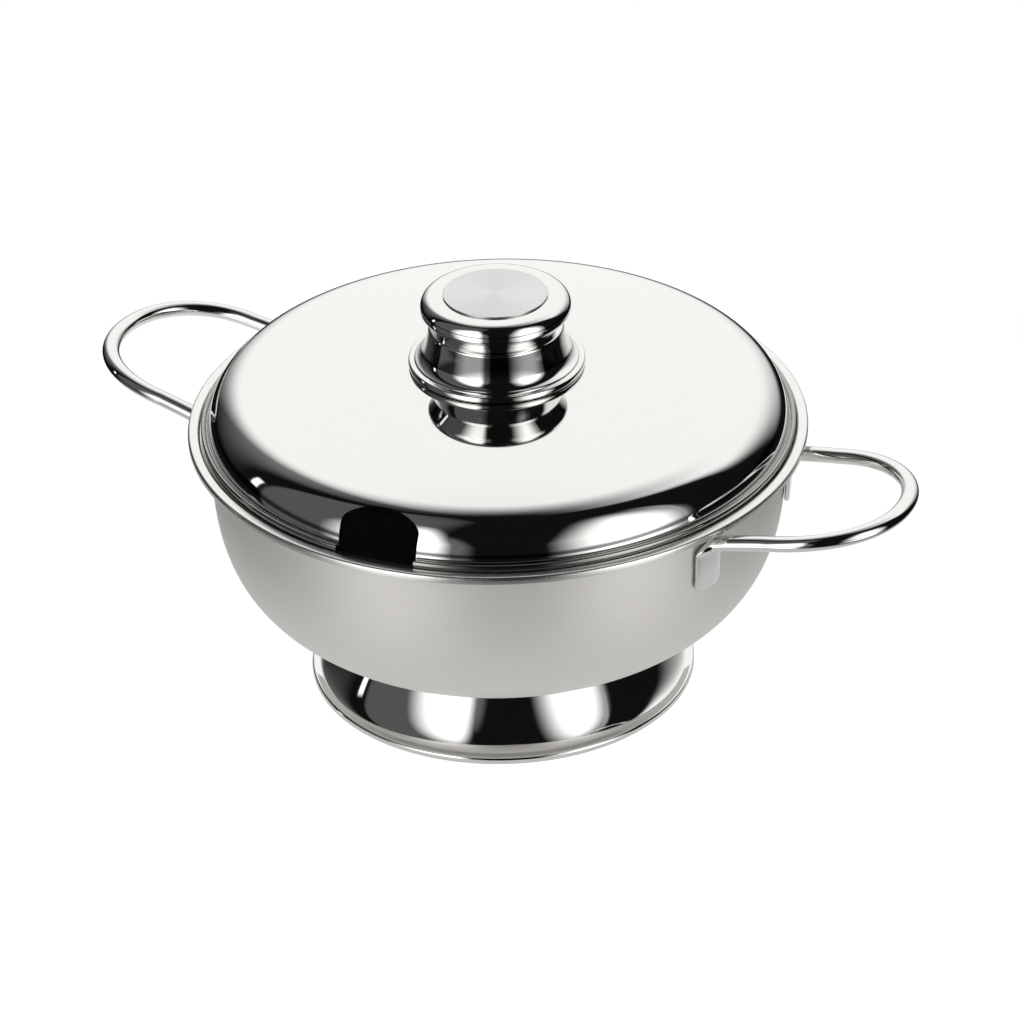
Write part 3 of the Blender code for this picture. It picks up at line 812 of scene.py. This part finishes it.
knobSizes = {
    "height": 0.0303,
    "headRadius": 0.0307, "headRound": 0.0050, "headSideBottom": 0.0236, "undersideRound": 0.0024,
    "neckRadius": 0.0259, "neckHeight": 0.0188, "neckRound": 0.0006,
    "waistRadius": 0.0246, "waistHeight": 0.0181, "waistRound": 0.0004,
    "shoulderRadius": 0.0275, "shoulderHeight": 0.0166, "shoulderRound": 0.0016,
    "wallRadius": 0.0303, "wallBottom": 0.0041, "flareRound": 0.0058,
    "wallHollow": 0.00015, "wallRound": 0.10,  # the wall bows in a little, so that its reflections fade
    "flareRadius": 0.03335, "flareHeight": 0.0028,
    "beadRadius": 0.0361, "beadTop": 0.0023, "beadRound": 0.0011, "groove": 0.0003,
    "capRadius": 0.0212, "capRecess": 0.0007, "capProud": 0.0007, "capRound": 0.0002,
    "sides": 160, "roundSteps": 14,
}
knobPlace = lidPlace @ Matrix.Translation((0, 0, lidSizes["height"]))
recessFloor = knobSizes["height"] - knobSizes["capRecess"]
recessRadius = knobSizes["capRadius"] + gap


def knobSeat(radius):  # how high the knob's underside lies
    return domeHeight(radius) - lidSizes["height"] + gap


def makeKnob():
    k = knobSizes
    wallMiddle = (k["shoulderRadius"] + k["wallRadius"]) / 2, (k["shoulderHeight"] + k["wallBottom"]) / 2
    outer = roundedPath([
        (recessRadius, k["height"], 0),
        (k["headRadius"], k["height"], k["headRound"]),
        (k["headRadius"], k["headSideBottom"], k["undersideRound"]),
        (k["neckRadius"], k["neckHeight"], k["neckRound"]),
        (k["waistRadius"], k["waistHeight"], k["waistRound"]),
        (k["shoulderRadius"], k["shoulderHeight"], k["shoulderRound"]),
        (wallMiddle[0] - k["wallHollow"], wallMiddle[1], k["wallRound"]),
        (k["wallRadius"], k["wallBottom"], k["flareRound"]),
        (k["flareRadius"], k["flareHeight"], 0),
    ], k["roundSteps"])
    hollow = [
        (radius, height) for radius, height in offsetPath(outer, sheet)
        if radius > recessRadius and height > k["wallBottom"]
    ]
    wallInside = k["wallRadius"] - sheet
    bead = roundedPath([
        (k["flareRadius"] + k["groove"], k["beadTop"], 0),
        (k["beadRadius"], k["beadTop"], k["beadRound"]),
        (k["beadRadius"], knobSeat(k["beadRadius"]), k["beadRound"]),
        (wallInside, knobSeat(wallInside), 0),
    ])
    recess = [(0, recessFloor - sheet), (0, recessFloor), (recessRadius, recessFloor)]
    roofEdge = (recessRadius + sheet, recessFloor - sheet)
    outline = recess + outer + bead + hollow[::-1] + [roofEdge]
    shell = turned("knobShell", outline, polishedSteel, k["sides"], knobPlace)
    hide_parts("knob_shell")
    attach(shell, "lid_and_knob")

    cap = turned("knobCap", roundedPath([
        (0, k["height"] + k["capProud"], 0),
        (k["capRadius"], k["height"] + k["capProud"], k["capRound"]),
        (k["capRadius"], recessFloor + gap, 0),
        (0, recessFloor + gap, 0),
    ]), satinCap, k["sides"], knobPlace)
    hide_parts("knob_cap")
    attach(cap, "lid_and_knob")
    for name in ("knob_post", "knob_washer", "knob_screw"):
        nodes[name].data.materials.clear()
        nodes[name].data.materials.append(plainSteel)


makeBowl()
makeFoot()
makeHandle("handleRight", "handle_right", 0)
makeHandle("handleLeft", "handle_left", math.pi)
makeLid()
makeKnob()
print("pieces made")


# Studio: a white table, soft panels in front, a pale backdrop behind, and a dark room

# angles in degrees; focal length, target and picture in pixels
shot = {"azimuth": 27.8, "elevation": 30.1, "roll": 1.33, "distance": 1.816, "targetHeight": 0.090,
        "focalPixels": 4396.5, "targetX": 499.07, "targetY": 474.97, "picture": 1024,
        "sensor": 36, "near": 0.05, "far": 20}
lampColour = (1, 0.995, 0.985, 1)

# Each panel is an upright card, at a bearing in degrees to the right of the camera's. Places on
# it are distances from the foot of its normal, as shares of how far off it stands: side is to the
# camera's right, rise is up. A pair is a soft edge, from where there is no light to full light.
studio = {
    "rightPanel": {"bearing": 48, "left": (-0.64, 0.00), "right": (0.56, 0.12), "bottom": (-0.60, -0.45),
                   "top": (2.10, 0.50), "lean": 0.31, "rightLean": 0.10, "strength": 2.04},
    "rightPanelEdge": {"bearing": 48, "left": (0.10, 0.20), "right": (0.51, 0.45), "bottom": (-0.60, -0.45),
                       "top": (1.90, 0.60), "lean": 0, "rightLean": 0, "strength": 0.40},
    "leftPanel": {"bearing": -45, "left": (-0.56, 0.00), "right": (0.55, 0.30), "bottom": (-0.60, -0.45),
                  "top": (1.90, 0.60), "lean": 0.20, "rightLean": 0.20, "strength": 1.94},
    "leftPanelEdge": {"bearing": -45, "left": (0.20, 0.30), "right": (0.74, 0.55), "bottom": (-0.60, -0.45),
                      "top": (1.05, 0.60), "lean": 0.30, "rightLean": 0.30, "strength": 0.15},
    "leftScreen": {"bearing": -70, "left": (-0.62, -0.54), "right": (1.2, 0.4), "bottom": (-0.60, -0.45),
                   "top": (9.0, 2.0), "lean": 0, "rightLean": 0, "strength": 0.105},
    "slit": {"bearing": -105, "left": (-0.045, -0.020), "right": (0.045, 0.020), "bottom": (0.00, 0.06),
             "top": (0.34, 0.24), "lean": 0, "rightLean": 0, "strength": 1.6},
}
backdrop = {"strength": 1.12, "rightSlope": 0.75, "rightEdge": (-1.20, 0.20), "rightEnd": (4.2, 1.8),
            "leftSlope": 1.3, "leftEdge": (-1.00, 0.15), "leftEnd": (1.15, 0.33), "leftTail": (2.6, 0.8),
            "tailRise": (-15, 50), "tailStrength": 0.17, "bottom": (-0.24, -0.02), "topFade": (84, 42)}
cornerStart = 0.4  # above this rise a panel's edges lean in
leastAhead = 0.02  # keeps places finite beside a card
glimmer = 0.0062   # the dark room itself
tableEdge = {"bottom": (-12.0, -8.5), "top": (2.5, -5.0), "depth": 0.80}  # in degrees from level


def worldNodes():
    world = bpy.data.worlds.new("studio")
    bpy.context.scene.world = world
    world.use_nodes = True
    world.node_tree.nodes.clear()
    w = Wiring(world.node_tree)
    place = w.node("ShaderNodeTexCoord").outputs["Generated"]

    def seenFrom(bearing):
        split = w.turnedPlace(place, shot["azimuth"] + bearing)
        ahead = w.maths("MAXIMUM", w.maths("MULTIPLY", split.outputs[1], -1.0), leastAhead)
        return w.maths("DIVIDE", split.outputs[0], ahead), w.maths("DIVIDE", split.outputs[2], ahead), split

    def panel(card):
        side, rise, split = seenFrom(card["bearing"])
        over = w.maths("MAXIMUM", w.maths("SUBTRACT", rise, cornerStart), 0.0)
        fromLeft = w.maths("SUBTRACT", side, w.maths("MULTIPLY", over, card["lean"]))
        fromRight = w.maths("ADD", side, w.maths("MULTIPLY", over, card["rightLean"]))
        value = w.maths("MULTIPLY", w.ramp(fromLeft, *card["left"]), w.ramp(fromRight, *card["right"]))
        value = w.maths("MULTIPLY", value, w.ramp(rise, *card["bottom"]))
        value = w.maths("MULTIPLY", value, w.ramp(rise, *card["top"]))
        value = w.maths("MULTIPLY", value, w.maths("LESS_THAN", split.outputs[1], 0.0))
        return w.maths("MULTIPLY", value, card["strength"])

    total = glimmer
    for card in studio.values():
        total = w.maths("MAXIMUM", panel(card), total)
    # the table's far edge crosses the panels as a darker band
    up = w.node("ShaderNodeSeparateXYZ", {0: place}).outputs[2]
    height = w.maths("MULTIPLY", w.maths("ARCSINE", up), 180 / math.pi)
    band = w.maths("MULTIPLY", w.ramp(height, *tableEdge["bottom"]), w.ramp(height, *tableEdge["top"]))
    total = w.maths("MULTIPLY", total, w.maths("MULTIPLY_ADD", band, -tableEdge["depth"], 1.0))

    # the backdrop behind the tureen, seen from the camera's side as left and right halves
    side, rise, split = seenFrom(180)
    toRight = w.maths("LESS_THAN", side, 0.0)
    spread = w.maths("ABSOLUTE", side)
    right = w.ramp(w.maths("MULTIPLY_ADD", spread, -backdrop["rightSlope"], rise), *backdrop["rightEdge"])
    left = w.ramp(w.maths("MULTIPLY_ADD", spread, -backdrop["leftSlope"], rise), *backdrop["leftEdge"])
    right = w.maths("MULTIPLY", right, w.ramp(spread, *backdrop["rightEnd"]))
    left = w.maths("MULTIPLY", left, w.ramp(spread, *backdrop["leftEnd"]))
    tail = w.maths("MULTIPLY", w.ramp(spread, *backdrop["leftTail"]), w.ramp(height, *backdrop["tailRise"]))
    left = w.maths("MAXIMUM", left, w.maths("MULTIPLY", tail, backdrop["tailStrength"]))
    both = w.node("ShaderNodeMix", {"Factor": toRight, 2: left, 3: right}, data_type="FLOAT").outputs[0]
    value = w.maths("MULTIPLY", both, w.ramp(rise, *backdrop["bottom"]))
    value = w.maths("MULTIPLY", value, w.ramp(height, *backdrop["topFade"]))
    value = w.maths("MULTIPLY", value, w.maths("LESS_THAN", split.outputs[1], 0.0))
    total = w.maths("ADD", total, w.maths("MULTIPLY", value, backdrop["strength"]))

    shown = w.node("ShaderNodeBackground", {"Color": (1, 1, 1, 1), "Strength": 1.0})
    light = w.node("ShaderNodeBackground", {"Color": lampColour, "Strength": total})
    path = w.node("ShaderNodeLightPath")
    mix = w.node("ShaderNodeMixShader", {
        0: path.outputs["Is Camera Ray"], 1: light.outputs[0], 2: shown.outputs[0]})
    w.node("ShaderNodeOutputWorld", {0: mix.outputs[0]})


table = {
    "radius": 0.38, "softFrom": 0.22, "softMargin": 0.01, "drop": 0.0002, "sides": 96,
    "white": 0.865, "paint": 0.46,
    "glossyFront": 0.60, "glossyBack": 0.82, "glossyFade": (-0.15, 0.20),  # as steel mirrors it
}


def makeTable():
    bm = bmesh.new()
    bmesh.ops.create_circle(bm, cap_ends=True, segments=table["sides"], radius=table["radius"])
    mesh = bpy.data.meshes.new("table")
    bm.to_mesh(mesh)
    bm.free()
    mesh.transform(Matrix.Translation((0, 0, footLow.z - table["drop"])))
    item = newItem("table", mesh)
    material = bpy.data.materials.new("tableWhite")
    material.use_nodes = True
    material.node_tree.nodes.clear()
    w = Wiring(material.node_tree)
    place = w.node("ShaderNodeTexCoord").outputs["Object"]
    depth = w.turnedPlace(place, shot["azimuth"]).outputs[1]
    radius = w.node("ShaderNodeVectorMath", {0: place}, operation="LENGTH").outputs["Value"]
    path = w.node("ShaderNodeLightPath")
    glow = w.node("ShaderNodeEmission", {"Color": (1, 1, 1, 1), "Strength": table["white"]})
    matt = w.node("ShaderNodeBsdfDiffuse", {"Color": (*[table["paint"]] * 3, 1)})
    seen = w.node("ShaderNodeAddShader", {0: glow.outputs[0], 1: matt.outputs[0]})
    fade = w.ramp(depth, *table["glossyFade"], table["glossyFront"], table["glossyBack"])
    mirrored = w.node("ShaderNodeEmission", {"Color": lampColour, "Strength": fade})
    surface = w.node("ShaderNodeMixShader", {
        0: path.outputs["Is Glossy Ray"], 1: seen.outputs[0], 2: mirrored.outputs[0]})
    nothing = w.node("ShaderNodeBsdfTransparent")
    below = w.node("ShaderNodeNewGeometry").outputs["Backfacing"]  # from below the table is clear
    edge = w.ramp(radius, table["softFrom"], table["radius"] - table["softMargin"])
    edge = w.maths("MAXIMUM", edge, below)
    mix = w.node("ShaderNodeMixShader", {0: edge, 1: surface.outputs[0], 2: nothing.outputs[0]})
    w.node("ShaderNodeOutputMaterial", {0: mix.outputs[0]})
    mesh.materials.append(material)


def makeCamera():
    data = bpy.data.cameras.new("camera")
    camera = newItem("camera", data)
    azimuth, elevation = math.radians(shot["azimuth"]), math.radians(shot["elevation"])
    back = Vector((
        math.sin(azimuth) * math.cos(elevation),
        -math.cos(azimuth) * math.cos(elevation),
        math.sin(elevation),
    ))
    camera.location = Vector((0, 0, shot["targetHeight"])) + back * shot["distance"]
    look = (-back).to_track_quat("-Z", "Y").to_matrix().to_4x4()
    roll = Matrix.Rotation(-math.radians(shot["roll"]), 4, "Z")
    camera.rotation_euler = (look @ roll).to_euler()
    data.sensor_width = shot["sensor"]
    data.lens = shot["focalPixels"] * shot["sensor"] / shot["picture"]
    data.shift_x = (shot["picture"] / 2 - shot["targetX"]) / shot["picture"]
    data.shift_y = -(shot["picture"] / 2 - shot["targetY"]) / shot["picture"]
    data.clip_start = shot["near"]
    data.clip_end = shot["far"]
    bpy.context.scene.camera = camera


worldNodes()
makeTable()
makeCamera()
bpy.context.scene.view_settings.view_transform = "Standard"
print("studio made")
